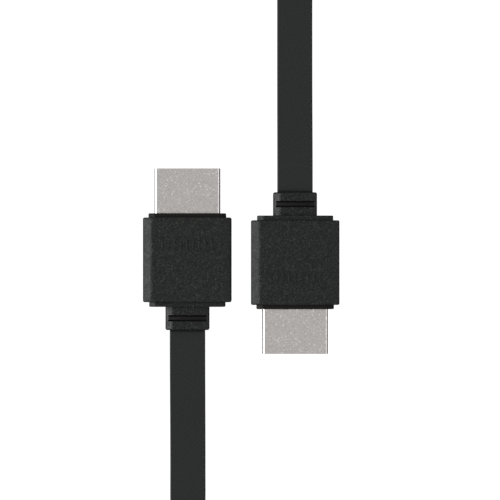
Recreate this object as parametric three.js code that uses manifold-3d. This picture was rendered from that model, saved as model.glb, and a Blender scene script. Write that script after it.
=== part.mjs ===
// Flat video lead, 1.5 m from tip to tip, with two straight type A plugs.
// Millimetres, +Z up. The origin is on the floor, midway between the two plugs.
// Plug A lies with its mouth towards +Y, and plug B is the same plug turned half round.

import * as THREE from "three";
import { mergeVertices } from "three/addons/utils/BufferGeometryUtils.js";
import Module from "manifold-3d";

const wasm = await Module();
wasm.setup();

// Where the plugs lie: from axis to axis, and from tip to tip along them
const PLUG_SPACING = 22.84;
const TIP_SPREAD = 39.28;

// Metal shell of a type A plug
const SHELL_WIDTH = 13.9;
const SHELL_HEIGHT = 4.45;
const SHELL_WALL = 0.3;
const SHELL_CORNER = 0.55;
const SHELL_CHAMFER_ACROSS = 1.75;
const SHELL_CHAMFER_UP = 1.6;
const SHELL_SHOWING = 9.5;
const SHELL_SEATED = 6.0;

// Moulded body
const BODY_WIDTH = 18.7;
const BODY_HEIGHT = 9.8;
const BODY_LENGTH = 17.9;
const BODY_SLANT_ACROSS = 1.75;
const BODY_SLANT_UP = 1.1;
const BODY_SOFT = 0.4;
const BODY_END_ROUND = 0.32;
const COLLAR_WIDTH = 16.4;
const COLLAR_LENGTH = 0.9;
const REAR_STEP_WIDTH = 16.1;
const REAR_STEP_LENGTH = 1.0;
const STEP_INSET = 1.1;
const STEP_SLANT_ACROSS = 1.3;
const STEP_SLANT_UP = 0.8;
const STEP_SOFT = 0.25;
const STEP_END_ROUND = 0.2;

// Strain relief, with a pair of grooves across its top and its underside
const RELIEF_WIDTH = 9.3;
const RELIEF_HEIGHT = 5.4;
const RELIEF_LENGTH = 4.95;
const RELIEF_SLANT_ACROSS = 1.45;
const RELIEF_SLANT_UP = 0.95;
const RELIEF_SOFT = 0.35;
const RELIEF_END_ROUND = 0.36;
const GROOVE_WIDTH = 0.36;
const GROOVE_DEPTH = 1.25;
const GROOVE_SPACING = 1.0;
const GROOVE_FROM_STEP = 1.75;
const GROOVE_END_WALL = 0.55;
const RIB_DROP = 0.5;

// Insulator and contacts
const INSERT_RECESS = 0.4;
const SLOT_WIDTH = 11.2;
const SLOT_HEIGHT = 1.9;
const SLOT_DEPTH = 7.0;
const SLOT_RISE = 0.2;
const CONTACT_WIDTH = 0.42;
const CONTACT_HEIGHT = 0.3;
const CONTACT_LENGTH = 5.8;
const CONTACT_SET_BACK = 0.6;
const CONTACT_PITCH = 1.0;
const UPPER_CONTACTS = 10;
const LOWER_CONTACTS = 9;

// Flat cord
const CORD_WIDTH = 7.5;
const CORD_THICKNESS = 2.6;
const CORD_CORNER = 0.4;
const CORD_SEATED = 1.2;
const CORD_STEP = 7.5;

// Coil: a lower layer that winds in and an upper one that winds out, both on edge
const COIL_X = 23.38;
const COIL_Y = -88.8;
const COIL_RADIUS = 34.8;
const COIL_TURNS = 5.5;
const COIL_PITCH = 2.8;
const LAYER_GAP = 0.2;
const COIL_SIDES = 64;

// Strap round the coil
const STRAP_WIDTH = 10;
const STRAP_THICKNESS = 0.8;
const STRAP_OVERLAP = 7;

// Fits
const SHELL_CLEARANCE = 0.05;
const INSERT_CLEARANCE = 0.05;
const CORD_CLEARANCE = 0.05;
const CORD_END_GAP = 0.3;
const STRAP_CLEARANCE = 0.1;

// How finely round corners and end edges are divided
const CORNER_SEGMENTS = 3;
const SHELL_CORNER_SEGMENTS = 4;
const END_SEGMENTS = 3;
const SMALLEST_CORNER = 0.1;

const PLUG_AXIS_X = PLUG_SPACING / 2;
const TIP_Y = TIP_SPREAD / 2;
const AXIS_HEIGHT = BODY_HEIGHT / 2;
const STEP_HEIGHT = BODY_HEIGHT - 2 * STEP_INSET;
const COLLAR_Y = -SHELL_SHOWING;
const BODY_Y = COLLAR_Y - COLLAR_LENGTH;
const REAR_STEP_Y = BODY_Y - BODY_LENGTH;
const RELIEF_Y = REAR_STEP_Y - REAR_STEP_LENGTH;
const PLUG_END_Y = RELIEF_Y - RELIEF_LENGTH;
const SHELL_LENGTH = SHELL_SHOWING + SHELL_SEATED;

// Points along the middle of the cord, with its roll: 0 lies flat and 90 stands on edge
const CORD_FROM_PLUG_A = [
  { x: -11.42, y: -13.4, z: 4.9, roll: 0 },
  { x: -11.42, y: -17, z: 4.88, roll: 0 },
  { x: -11.42, y: -21, z: 4.6, roll: 0 },
  { x: -11.42, y: -25, z: 3.95, roll: 0 },
  { x: -11.42, y: -29, z: 3.15, roll: 0 },
  { x: -11.42, y: -33, z: 2.35, roll: 0 },
  { x: -11.42, y: -37, z: 1.72, roll: 0 },
  { x: -11.42, y: -41, z: 1.4, roll: 0 },
  { x: -11.42, y: -46, z: 1.32, roll: 0 },
  { x: -11.42, y: -51, z: 1.36, roll: 0 },
  { x: -11.42, y: -55, z: 1.85, roll: 9 },
  { x: -11.42, y: -59, z: 2.7, roll: 26 },
  { x: -11.42, y: -63, z: 3.34, roll: 44 },
  { x: -11.42, y: -67, z: 3.88, roll: 61 },
  { x: -11.42, y: -70.5, z: 4.15, roll: 74 },
  { x: -11.42, y: -74, z: 4.45, roll: 84 },
];
const CORD_TO_PLUG_B = [
  { x: 58.18, y: -74, z: 12.1, roll: 90 },
  { x: 58.18, y: -68, z: 11.6, roll: 90 },
  { x: 58.18, y: -60, z: 10.5, roll: 90 },
  { x: 58.18, y: -50, z: 8.7, roll: 90 },
  { x: 58.18, y: -40, z: 6.8, roll: 90 },
  { x: 58.18, y: -30, z: 5.2, roll: 90 },
  { x: 58.18, y: -20, z: 4.15, roll: 90 },
  { x: 58.18, y: -10, z: 3.8, roll: 90 },
  { x: 58.18, y: 5, z: 3.78, roll: 90 },
  { x: 58.18, y: 20, z: 3.78, roll: 90 },
  { x: 58.18, y: 35, z: 3.78, roll: 90 },
  { x: 58.18, y: 50, z: 3.78, roll: 90 },
  { x: 58.18, y: 60, z: 3.78, roll: 90 },
  { x: 58.18, y: 70, z: 3.78, roll: 90 },
  { x: 56.4, y: 79, z: 3.78, roll: 90 },
  { x: 51.33, y: 86.5, z: 3.78, roll: 90 },
  { x: 43.75, y: 91.6, z: 3.8, roll: 90 },
  { x: 34.8, y: 93.4, z: 3.83, roll: 88 },
  { x: 25.85, y: 91.6, z: 3.9, roll: 80 },
  { x: 18.27, y: 86.5, z: 3.86, roll: 63 },
  { x: 13.2, y: 79, z: 3.26, roll: 41 },
  { x: 11.5, y: 70, z: 2.36, roll: 18 },
  { x: 11.42, y: 62, z: 1.6, roll: 4 },
  { x: 11.42, y: 55, z: 1.34, roll: 0 },
  { x: 11.42, y: 46, z: 1.34, roll: 0 },
  { x: 11.42, y: 41, z: 1.4, roll: 0 },
  { x: 11.42, y: 37, z: 1.72, roll: 0 },
  { x: 11.42, y: 33, z: 2.35, roll: 0 },
  { x: 11.42, y: 29, z: 3.15, roll: 0 },
  { x: 11.42, y: 25, z: 3.95, roll: 0 },
  { x: 11.42, y: 21, z: 4.6, roll: 0 },
  { x: 11.42, y: 17, z: 4.88, roll: 0 },
  { x: 11.42, y: 13.4, z: 4.9, roll: 0 },
];

const MATERIALS = {
  body: { color: 0x2b2d2c, roughness: 0.75, metalness: 0 },
  shell: { color: 0xb2aeab, roughness: 0.35, metalness: 1 },
  insert: { color: 0x151515, roughness: 0.5, metalness: 0 },
  contact: { color: 0xd9a441, roughness: 0.25, metalness: 1 },
  cord: { color: 0x2e302f, roughness: 0.55, metalness: 0 },
  strap: { color: 0x1d1d1d, roughness: 0.95, metalness: 0 },
};

const mesh = (name, geometry, finish) => {
  const piece = new THREE.Mesh(geometry, new THREE.MeshStandardMaterial(MATERIALS[finish]));
  piece.name = name;
  return piece;
};

// Closed geometry to manifold solid and back
const toSolid = (geometry) => {
  const bare = geometry.clone();
  bare.deleteAttribute("normal");
  bare.deleteAttribute("uv");
  const merged = mergeVertices(bare, 1e-4);
  const vertProperties = new Float32Array(merged.attributes.position.array);
  const triVerts = new Uint32Array(merged.index.array);
  return new wasm.Manifold(new wasm.Mesh({ numProp: 3, vertProperties, triVerts }));
};

const toGeometry = (solid) => {
  const { vertProperties, triVerts } = solid.getMesh();
  const geometry = new THREE.BufferGeometry();
  geometry.setAttribute("position", new THREE.BufferAttribute(new Float32Array(vertProperties), 3));
  geometry.setIndex(new THREE.BufferAttribute(new Uint32Array(triVerts), 1));
  geometry.computeVertexNormals();
  return geometry;
};

// Rectangle centred on the axis with slanted corners, whose edges are softened
const slantRectangle = (width, height, across, up, soft) => {
  const x = width / 2;
  const y = height / 2;
  const corners = [
    [-x + across, -y], [x - across, -y], [x, -y + up], [x, y - up],
    [x - across, y], [-x + across, y], [-x, y - up], [-x, -y + up],
  ].map(([a, b]) => new THREE.Vector2(a, b));
  const shape = new THREE.Shape();
  corners.forEach((corner, i) => {
    const next = corners[(i + 1) % corners.length];
    const before = corners.at(i - 1).clone().sub(corner).setLength(soft).add(corner);
    const after = next.clone().sub(corner).setLength(soft).add(corner);
    if (i === 0) {
      shape.moveTo(before.x, before.y);
    } else {
      shape.lineTo(before.x, before.y);
    }
    shape.quadraticCurveTo(corner.x, corner.y, after.x, after.y);
  });
  shape.closePath();
  return shape;
};

// Outline of the plug's shell, shrunk by an inset: round upper corners and slanted lower ones
const shellOutline = (inset) => {
  const x = SHELL_WIDTH / 2 - inset;
  const y = SHELL_HEIGHT / 2 - inset;
  const radius = Math.max(SHELL_CORNER - inset, SMALLEST_CORNER);
  const slant = Math.atan2(SHELL_CHAMFER_UP, SHELL_CHAMFER_ACROSS);
  const across = SHELL_CHAMFER_ACROSS + inset * (1 / Math.sin(slant) - 1 / Math.tan(slant) - 1);
  const up = across * Math.tan(slant);
  const shape = new THREE.Shape();
  shape.moveTo(-x + across, -y);
  shape.lineTo(x - across, -y);
  shape.lineTo(x, -y + up);
  shape.lineTo(x, y - radius);
  shape.absarc(x - radius, y - radius, radius, 0, Math.PI / 2);
  shape.lineTo(-x + radius, y);
  shape.absarc(-x + radius, y - radius, radius, Math.PI / 2, Math.PI);
  shape.lineTo(-x, -y + up);
  shape.closePath();
  return shape;
};

// Outline extruded towards -Y from frontY, on the plug's axis, with its end edges rounded
const extrudeBack = (shape, frontY, length, endRound = 0, curveSegments = CORNER_SEGMENTS) => {
  const geometry = new THREE.ExtrudeGeometry(shape, {
    depth: length - 2 * endRound,
    bevelEnabled: endRound > 0,
    bevelThickness: endRound,
    bevelSize: endRound,
    bevelOffset: -endRound,
    bevelSegments: END_SEGMENTS,
    curveSegments,
  });
  geometry.translate(0, 0, endRound);
  geometry.rotateX(Math.PI / 2);
  geometry.translate(0, frontY, AXIS_HEIGHT);
  return geometry;
};

// Box on the plug's axis, from frontY towards -Y
const boxBack = (width, height, length, frontY, rise) => {
  const geometry = new THREE.BoxGeometry(width, length, height);
  geometry.translate(0, frontY - length / 2, AXIS_HEIGHT + rise);
  return geometry;
};

// Two grooves with a low rib between them, on one face of the relief
const grooveCuts = (side) => {
  const length = RELIEF_WIDTH - 2 * GROOVE_END_WALL;
  const top = RELIEF_HEIGHT / 2;
  const first = RELIEF_Y - GROOVE_FROM_STEP;
  const groove = (y) =>
    toSolid(boxBack(length, 2 * GROOVE_DEPTH, GROOVE_WIDTH, y, side * top));
  const rib = boxBack(length, 2 * RIB_DROP, GROOVE_SPACING + GROOVE_WIDTH, first, side * top);
  return groove(first).add(groove(first - GROOVE_SPACING)).add(toSolid(rib));
};

// Body, collar, rear step and strain relief, which are moulded in one
const mouldedBody = () => {
  const join = BODY_END_ROUND;
  const step = (width) =>
    slantRectangle(width, STEP_HEIGHT, STEP_SLANT_ACROSS, STEP_SLANT_UP, STEP_SOFT);
  const body = extrudeBack(
    slantRectangle(BODY_WIDTH, BODY_HEIGHT, BODY_SLANT_ACROSS, BODY_SLANT_UP, BODY_SOFT),
    BODY_Y, BODY_LENGTH, BODY_END_ROUND);
  const collar = extrudeBack(
    step(COLLAR_WIDTH), COLLAR_Y, COLLAR_LENGTH + 2 * join, STEP_END_ROUND);
  const rearStep = extrudeBack(
    step(REAR_STEP_WIDTH),
    REAR_STEP_Y + 2 * join, REAR_STEP_LENGTH + 2 * join, STEP_END_ROUND);
  const relief = extrudeBack(
    slantRectangle(
      RELIEF_WIDTH, RELIEF_HEIGHT, RELIEF_SLANT_ACROSS, RELIEF_SLANT_UP, RELIEF_SOFT),
    RELIEF_Y + 2 * join, RELIEF_LENGTH + 2 * join, RELIEF_END_ROUND);
  const shellSeat = extrudeBack(
    shellOutline(-SHELL_CLEARANCE), COLLAR_Y + join, SHELL_SEATED + SHELL_CLEARANCE + join);
  const seatDepth = CORD_SEATED + CORD_END_GAP;
  const cordSeat = boxBack(
    CORD_WIDTH + 2 * CORD_CLEARANCE, CORD_THICKNESS + 2 * CORD_CLEARANCE, seatDepth + join,
    PLUG_END_Y + seatDepth, 0);
  return toSolid(body)
    .add(toSolid(collar))
    .add(toSolid(rearStep))
    .add(toSolid(relief))
    .subtract(toSolid(shellSeat))
    .subtract(toSolid(cordSeat))
    .subtract(grooveCuts(1))
    .subtract(grooveCuts(-1));
};

// Bent sheet-metal tube, open at both ends
const metalShell = () => {
  const outline = shellOutline(0);
  const inside = shellOutline(SHELL_WALL).getPoints(SHELL_CORNER_SEGMENTS);
  outline.holes.push(new THREE.Path(inside));
  return extrudeBack(outline, 0, SHELL_LENGTH, 0, SHELL_CORNER_SEGMENTS);
};

// Insulator that fills the shell, with the slot for the socket's tongue
const insulator = () => {
  const block = extrudeBack(
    shellOutline(SHELL_WALL + INSERT_CLEARANCE), -INSERT_RECESS, SHELL_LENGTH - INSERT_RECESS, 0,
    SHELL_CORNER_SEGMENTS);
  const slot = boxBack(SLOT_WIDTH, SLOT_HEIGHT, INSERT_RECESS + SLOT_DEPTH, 0, SLOT_RISE);
  return toSolid(block).subtract(toSolid(slot));
};

// One row of contacts on the upper (side 1) or lower (side -1) wall of the slot
const contactRow = (plug, side, count, firstNumber) => {
  const rise = SLOT_RISE + side * (SLOT_HEIGHT - CONTACT_HEIGHT) / 2;
  const frontY = -INSERT_RECESS - CONTACT_SET_BACK;
  return Array.from({ length: count }, (_, i) => {
    const geometry = boxBack(CONTACT_WIDTH, CONTACT_HEIGHT, CONTACT_LENGTH, frontY, rise);
    geometry.translate((i - (count - 1) / 2) * CONTACT_PITCH, 0, 0);
    const number = String(firstNumber + 2 * i).padStart(2, "0");
    return mesh(`${plug}_contact_${number}`, geometry, "contact");
  });
};

const makePlug = (plug) => {
  const group = new THREE.Group();
  group.add(mesh(`${plug}_body`, toGeometry(mouldedBody()), "body"));
  group.add(mesh(`${plug}_shell`, metalShell(), "shell"));
  group.add(mesh(`${plug}_insulator`, toGeometry(insulator()), "insert"));
  group.add(...contactRow(plug, 1, UPPER_CONTACTS, 1));
  group.add(...contactRow(plug, -1, LOWER_CONTACTS, 2));
  return group;
};

// Section of the flat cord, an eight-sided outline
const cordSection = () => {
  const x = CORD_WIDTH / 2;
  const y = CORD_THICKNESS / 2;
  const outline = [
    [x, -y + CORD_CORNER], [x, y - CORD_CORNER], [x - CORD_CORNER, y], [-x + CORD_CORNER, y],
    [-x, y - CORD_CORNER], [-x, -y + CORD_CORNER], [-x + CORD_CORNER, -y], [x - CORD_CORNER, -y],
  ];
  return new THREE.Shape(outline.map(([a, b]) => new THREE.Vector2(a, b)));
};

// Straight flat cord, bent and rolled to follow its points
const cordAlong = (points) => {
  const route = new THREE.CatmullRomCurve3(
    points.map(({ x, y, z }) => new THREE.Vector3(x, y, z)), false, "catmullrom", 0.5);
  const rolls = new THREE.CatmullRomCurve3(
    points.map(({ roll }, i) => new THREE.Vector3(i, THREE.MathUtils.degToRad(roll), 0)), false,
    "catmullrom", 0.5);
  const steps = Math.ceil(route.getLength() / CORD_STEP);
  const geometry = new THREE.ExtrudeGeometry(cordSection(), { depth: 1, steps, bevelEnabled: false });
  const position = geometry.attributes.position;
  const up = new THREE.Vector3(0, 0, 1);
  for (let i = 0; i < position.count; i += 1) {
    const t = route.getUtoTmapping(THREE.MathUtils.clamp(position.getZ(i), 0, 1));
    const ahead = route.getTangent(t);
    const level = new THREE.Vector3().crossVectors(ahead, up).normalize();
    const over = new THREE.Vector3().crossVectors(level, ahead);
    const roll = rolls.getPoint(t).y;
    const side = level.clone().multiplyScalar(Math.cos(roll)).addScaledVector(over, Math.sin(roll));
    const normal = new THREE.Vector3().crossVectors(ahead, side);
    const point = route.getPoint(t)
      .addScaledVector(side, position.getX(i))
      .addScaledVector(normal, position.getY(i));
    position.setXYZ(i, point.x, point.y, point.z);
  }
  geometry.computeVertexNormals();
  return geometry;
};

// Outer shape of the coil: one turned ring with its bore
const COIL_FLOOR = STRAP_THICKNESS + STRAP_CLEARANCE;
const COIL_TOP = COIL_FLOOR + 2 * CORD_WIDTH + LAYER_GAP;
const COIL_OUTSIDE = COIL_RADIUS + CORD_THICKNESS / 2;
const COIL_INSIDE = COIL_RADIUS - (COIL_TURNS / 2) * COIL_PITCH - CORD_THICKNESS / 2;

const coilRing = () => {
  const profile = [
    [COIL_INSIDE, COIL_FLOOR], [COIL_OUTSIDE, COIL_FLOOR], [COIL_OUTSIDE, COIL_TOP],
    [COIL_INSIDE, COIL_TOP], [COIL_INSIDE, COIL_FLOOR],
  ].map(([radius, height]) => new THREE.Vector2(radius, height));
  const geometry = new THREE.LatheGeometry(profile, COIL_SIDES);
  geometry.rotateX(Math.PI / 2);
  geometry.translate(COIL_X, COIL_Y, 0);
  return geometry;
};

// Strap closed round the coil's section, with its end lapped over the top
const coilStrap = () => {
  const near = Math.sqrt(COIL_INSIDE ** 2 - (STRAP_WIDTH / 2) ** 2) - STRAP_CLEARANCE;
  const far = COIL_OUTSIDE + STRAP_CLEARANCE;
  const roof = COIL_TOP + STRAP_CLEARANCE;
  const band = new THREE.Shape();
  band.moveTo(-far - STRAP_THICKNESS, 0);
  band.lineTo(-near + STRAP_THICKNESS, 0);
  band.lineTo(-near + STRAP_THICKNESS, roof + STRAP_THICKNESS);
  band.lineTo(-far + STRAP_OVERLAP, roof + STRAP_THICKNESS);
  band.lineTo(-far + STRAP_OVERLAP, roof + 2 * STRAP_THICKNESS);
  band.lineTo(-far - STRAP_THICKNESS, roof + 2 * STRAP_THICKNESS);
  band.closePath();
  const inside = new THREE.Path();
  inside.moveTo(-far, STRAP_THICKNESS);
  inside.lineTo(-near, STRAP_THICKNESS);
  inside.lineTo(-near, roof);
  inside.lineTo(-far, roof);
  inside.closePath();
  band.holes.push(inside);
  const geometry = new THREE.ExtrudeGeometry(band, { depth: STRAP_WIDTH, bevelEnabled: false });
  geometry.translate(0, 0, -STRAP_WIDTH / 2);
  geometry.rotateX(Math.PI / 2);
  geometry.rotateZ(Math.PI / 2);
  geometry.translate(COIL_X, COIL_Y, 0);
  return geometry;
};

const lead = new THREE.Group();

const plugA = makePlug("plug_a");
plugA.position.set(-PLUG_AXIS_X, TIP_Y, 0);
lead.add(plugA);

const plugB = makePlug("plug_b");
plugB.position.set(PLUG_AXIS_X, -TIP_Y, 0);
plugB.rotation.z = Math.PI;
lead.add(plugB);

lead.add(mesh("cord_from_plug_a", cordAlong(CORD_FROM_PLUG_A), "cord"));
lead.add(mesh("cord_to_plug_b", cordAlong(CORD_TO_PLUG_B), "cord"));
lead.add(mesh("cord_coil", coilRing(), "cord"));
lead.add(mesh("coil_strap", coilStrap(), "strap"));

export default lead;
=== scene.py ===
"""Dress of a flat video lead, 1.5 m from tip to tip, with two straight type A plugs.

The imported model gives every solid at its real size. This script shows the same pieces as they
look: the grained black moulding, the plated sheet shell, the gold contacts and the flat jacket.
New pieces are modelled in millimetres in a plug's own frame, with its mouth at the origin and
towards +Y, and are then shrunk to metres and set where the plug lies.
"""

from __future__ import annotations

import logging
import math
from collections.abc import Callable
from dataclasses import dataclass, replace
from enum import Enum

import bmesh
import bpy
from bpy.types import Material, Mesh, MeshPolygon, Node, NodeSocket, NodeTree, Object
from mathutils import Matrix, Vector

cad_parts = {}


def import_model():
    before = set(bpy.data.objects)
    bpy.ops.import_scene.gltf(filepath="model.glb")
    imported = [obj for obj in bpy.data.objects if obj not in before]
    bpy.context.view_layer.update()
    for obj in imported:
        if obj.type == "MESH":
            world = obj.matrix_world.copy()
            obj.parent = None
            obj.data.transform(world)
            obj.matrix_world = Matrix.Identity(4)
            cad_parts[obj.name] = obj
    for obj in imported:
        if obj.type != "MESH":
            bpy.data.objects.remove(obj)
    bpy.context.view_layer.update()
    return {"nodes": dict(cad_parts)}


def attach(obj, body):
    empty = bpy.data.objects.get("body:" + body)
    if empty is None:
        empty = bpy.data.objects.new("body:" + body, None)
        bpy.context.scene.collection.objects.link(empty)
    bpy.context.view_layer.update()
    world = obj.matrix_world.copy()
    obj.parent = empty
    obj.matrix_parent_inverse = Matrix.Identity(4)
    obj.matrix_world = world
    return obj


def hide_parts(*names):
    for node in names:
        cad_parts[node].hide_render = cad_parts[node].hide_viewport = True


log = logging.getLogger("flat_lead")

Place = tuple[float, float, float, float]

MM = 0.001
CLOSE = 1e-3


# Working with nodes and colours


def linear(colour: int) -> tuple[float, float, float, float]:
    """Turn an sRGB hex value into a linear colour.

    Args:
        colour: The colour as 0xRRGGBB.

    Returns:
        Linear red, green, blue and full alpha.
    """
    channels = [(colour >> shift & 255) / 255 for shift in (16, 8, 0)]
    curve = [c / 12.92 if c <= 0.04045 else ((c + 0.055) / 1.055) ** 2.4 for c in channels]
    return (*curve, 1.0)


def per_metre(size_mm: float) -> float:
    """Give the scale of a pattern whose features are that many millimetres across."""
    return 1.0 / (size_mm * MM)


def add_node(tree: NodeTree, kind: str, **settings: object) -> Node:
    """Add one node, with its settings and links.

    Args:
        tree: The node tree that takes it.
        kind: Its type name without the ShaderNode prefix.
        settings: Its properties by name, and its inputs by name with _ for a space, or by
            in_ and their place. An input takes a value, or the output socket that feeds it.

    Returns:
        The new node.
    """
    node = tree.nodes.new(f"ShaderNode{kind}")
    for key, value in settings.items():
        if hasattr(node, key):
            setattr(node, key, value)
            continue
        wanted = key.replace("_", " ").lower()
        named = [s for s in node.inputs if s.enabled and s.name.lower() == wanted]
        socket = named[0] if named else node.inputs[int(key.removeprefix("in_"))]
        if isinstance(value, NodeSocket):
            tree.links.new(value, socket)
        else:
            socket.default_value = value
    return node


def ramp(
    tree: NodeTree,
    fac: NodeSocket,
    low: tuple[float, float],
    high: tuple[float, float],
) -> NodeSocket:
    """Map a value from one range to another, held at both ends.

    Args:
        tree: The node tree.
        fac: The value's socket.
        low: The incoming low value and what it becomes.
        high: The incoming high value and what it becomes.

    Returns:
        The mapped value's socket.
    """
    node = add_node(
        tree,
        "MapRange",
        Value=fac,
        From_Min=low[0],
        To_Min=low[1],
        From_Max=high[0],
        To_Max=high[1],
    )
    return node.outputs["Result"]


def mix_colour(
    tree: NodeTree,
    fac: NodeSocket,
    first: int | NodeSocket,
    second: int,
) -> NodeSocket:
    """Mix two colours by a factor.

    Args:
        tree: The node tree.
        fac: The share of the second colour.
        first: The colour at 0 as sRGB hex, or the socket that gives it.
        second: The colour at 1 as sRGB hex.

    Returns:
        The mixed colour's socket.
    """
    start = linear(first) if isinstance(first, int) else first
    node = add_node(tree, "Mix", data_type="RGBA", Factor=fac, A=start, B=linear(second))
    return next(s for s in node.outputs if s.enabled)


def noise(
    tree: NodeTree,
    place: NodeSocket,
    size_mm: float,
    detail: float = 2.0,
    roughness: float = 0.5,
) -> NodeSocket:
    """Give a noise whose features are that many millimetres across.

    Args:
        tree: The node tree.
        place: The socket of the place.
        size_mm: The size of its features.
        detail: How many finer layers it has.
        roughness: How strong the finer layers are.
    """
    return add_node(
        tree, "TexNoise", Vector=place, Scale=per_metre(size_mm), Detail=detail,
        Roughness=roughness,
    ).outputs["Fac"]


def relief(tree: NodeTree, height: NodeSocket, strength: float, depth_mm: float) -> NodeSocket:
    """Turn a height from 0 to 1 into a normal.

    Args:
        tree: The node tree.
        height: The socket of the height.
        strength: The share of the effect that is kept.
        depth_mm: How deep it goes.
    """
    return add_node(
        tree, "Bump", Height=height, Strength=strength, Distance=depth_mm * MM,
    ).outputs["Normal"]


# Finishes


@dataclass(frozen=True)
class Finish:
    """What all finishes share: a name, and how a material is made from their nodes."""

    name: str

    def make(self) -> Material:
        """Make the material."""
        material = bpy.data.materials.new(self.name)
        material.use_nodes = True
        tree = material.node_tree
        tree.nodes.clear()
        add_node(tree, "OutputMaterial", Surface=self.shade(tree).outputs[0])
        return material

    def shade(self, tree: NodeTree) -> Node:
        """Add the finish's nodes to its material and give the last, the shader."""
        raise NotImplementedError


@dataclass(frozen=True)
class GrainedMoulding(Finish):
    """Black flexible PVC, injection moulded in a spark-eroded mould.

    The mould leaves a fine sandy grain, which breaks every highlight into specks and lets the
    rounded edges glow softly on the side of the light.
    """

    name: str = "grained_black_pvc"
    dark: int = 0x040605
    pale: int = 0x2B302D
    speck: int = 0x343935
    grain_mm: float = 0.3
    mottle_mm: float = 1.1
    grain_depth_mm: float = 0.12
    roughness: float = 0.4
    specular: float = 0.29

    def shade(self, tree: NodeTree) -> Node:
        """Add the finish's nodes to its material and give the last, the shader."""
        place = add_node(tree, "TexCoord").outputs["Object"]
        grain = noise(tree, place, self.grain_mm, 3.0, 0.6)
        mottle = noise(tree, place, self.mottle_mm)
        height = add_node(
            tree, "Math", operation="MULTIPLY_ADD", in_0=mottle, in_1=0.5, in_2=grain,
        ).outputs[0]
        bump = relief(tree, height, 1.0, self.grain_depth_mm)
        base = mix_colour(tree, ramp(tree, grain, (0.46, 0.0), (0.72, 1.0)), self.dark, self.pale)
        cells = add_node(
            tree, "TexVoronoi", Vector=place, Scale=per_metre(self.grain_mm * 0.8),
        ).outputs["Color"]
        chosen = add_node(tree, "SeparateColor", Color=cells).outputs[0]
        colour = mix_colour(tree, ramp(tree, chosen, (0.88, 0.0), (1.0, 0.8)), base, self.speck)
        rough = ramp(tree, mottle, (0.3, self.roughness - 0.07), (0.7, self.roughness + 0.07))
        return add_node(
            tree, "BsdfPrincipled", Base_Color=colour, Roughness=rough,
            Specular_IOR_Level=self.specular, Normal=bump,
        )


# The same PVC where the mould is smooth, in the collar's corner: dull and faintly brown, and
# painted darker than the body as painted shade for the shade that falls in that corner
COLLAR_PAINTED_SHADE_MOULDING = GrainedMoulding(
    name="smooth_black_pvc_painted_shade",
    dark=0x0F0A08,
    pale=0x17110E,
    speck=0x17110E,
    grain_depth_mm=0.01,
    roughness=0.6,
    specular=0.2,
)


# The same PVC in the narrow grooves and on the sunken rib between them, which the mould's grain
# does not reach, and painted darker as painted shade for the shade in these recesses
GROOVE_PAINTED_SHADE_MOULDING = replace(
    COLLAR_PAINTED_SHADE_MOULDING,
    name="polished_black_pvc_painted_shade",
    dark=0x0C0D0C,
    pale=0x131413,
    speck=0x131413,
)


# The same PVC on the strain relief, which handling has made a little glossier
RELIEF_MOULDING = GrainedMoulding(name="satin_black_pvc", roughness=0.27)


@dataclass(frozen=True)
class PlatedSheet(Finish):
    """Mild steel sheet with satin nickel plating, bent to shape.

    The plating is a soft warm grey of fine crystals. A few of them are painted near white in the
    colour, as painted sparkle, whichever way they face.
    """

    name: str = "satin_nickel_plate"
    grey: int = 0xE8E3E1
    dull: int = 0xA8A3A0
    painted_glint: int = 0xFFFDFB
    crystal_mm: float = 0.2
    cloud_mm: float = 1.4
    crystal_depth_mm: float = 0.02
    roughness: float = 0.22

    def shade(self, tree: NodeTree) -> Node:
        """Add the finish's nodes to its material and give the last, the shader."""
        place = add_node(tree, "TexCoord").outputs["Object"]
        crystal = noise(tree, place, self.crystal_mm)
        cloud = noise(tree, place, self.cloud_mm, 3.0)
        spark = add_node(
            tree, "TexVoronoi", Vector=place, Scale=per_metre(self.crystal_mm * 1.2),
        ).outputs["Color"]
        spark_value = add_node(tree, "SeparateColor", Color=spark).outputs[0]
        # Painted glints: a few crystal cells, picked at random, are made near white in the colour
        sparkle = ramp(tree, spark_value, (0.92, 0.0), (1.0, 1.0))
        base = mix_colour(tree, ramp(tree, crystal, (0.3, 0.0), (0.7, 0.6)), self.grey, self.dull)
        colour = mix_colour(tree, sparkle, base, self.painted_glint)
        bump = relief(tree, crystal, 1.0, self.crystal_depth_mm)
        rough = ramp(tree, cloud, (0.3, self.roughness - 0.05), (0.7, self.roughness + 0.05))
        return add_node(
            tree, "BsdfPrincipled", Base_Color=colour, Metallic=1.0, Roughness=rough, Normal=bump,
        )


@dataclass(frozen=True)
class GoldPlate(Finish):
    """Thin hard gold over nickel on phosphor bronze, rolled and smooth with faint draw lines."""

    name: str = "hard_gold_plate"
    gold: int = 0xE6B65A
    worn: int = 0xC9A063
    line_mm: float = 0.06
    roughness: float = 0.2

    def shade(self, tree: NodeTree) -> Node:
        """Add the finish's nodes to its material and give the last, the shader."""
        place = add_node(tree, "TexCoord").outputs["Object"]
        along = add_node(tree, "Mapping", Vector=place, Scale=(1.0, 0.05, 1.0)).outputs[0]
        lines = noise(tree, along, self.line_mm)
        colour = mix_colour(tree, ramp(tree, lines, (0.35, 0.0), (0.75, 0.6)), self.gold, self.worn)
        rough = ramp(tree, lines, (0.3, self.roughness), (0.7, self.roughness + 0.12))
        return add_node(
            tree, "BsdfPrincipled", Base_Color=colour, Metallic=1.0, Roughness=rough,
        )


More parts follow.
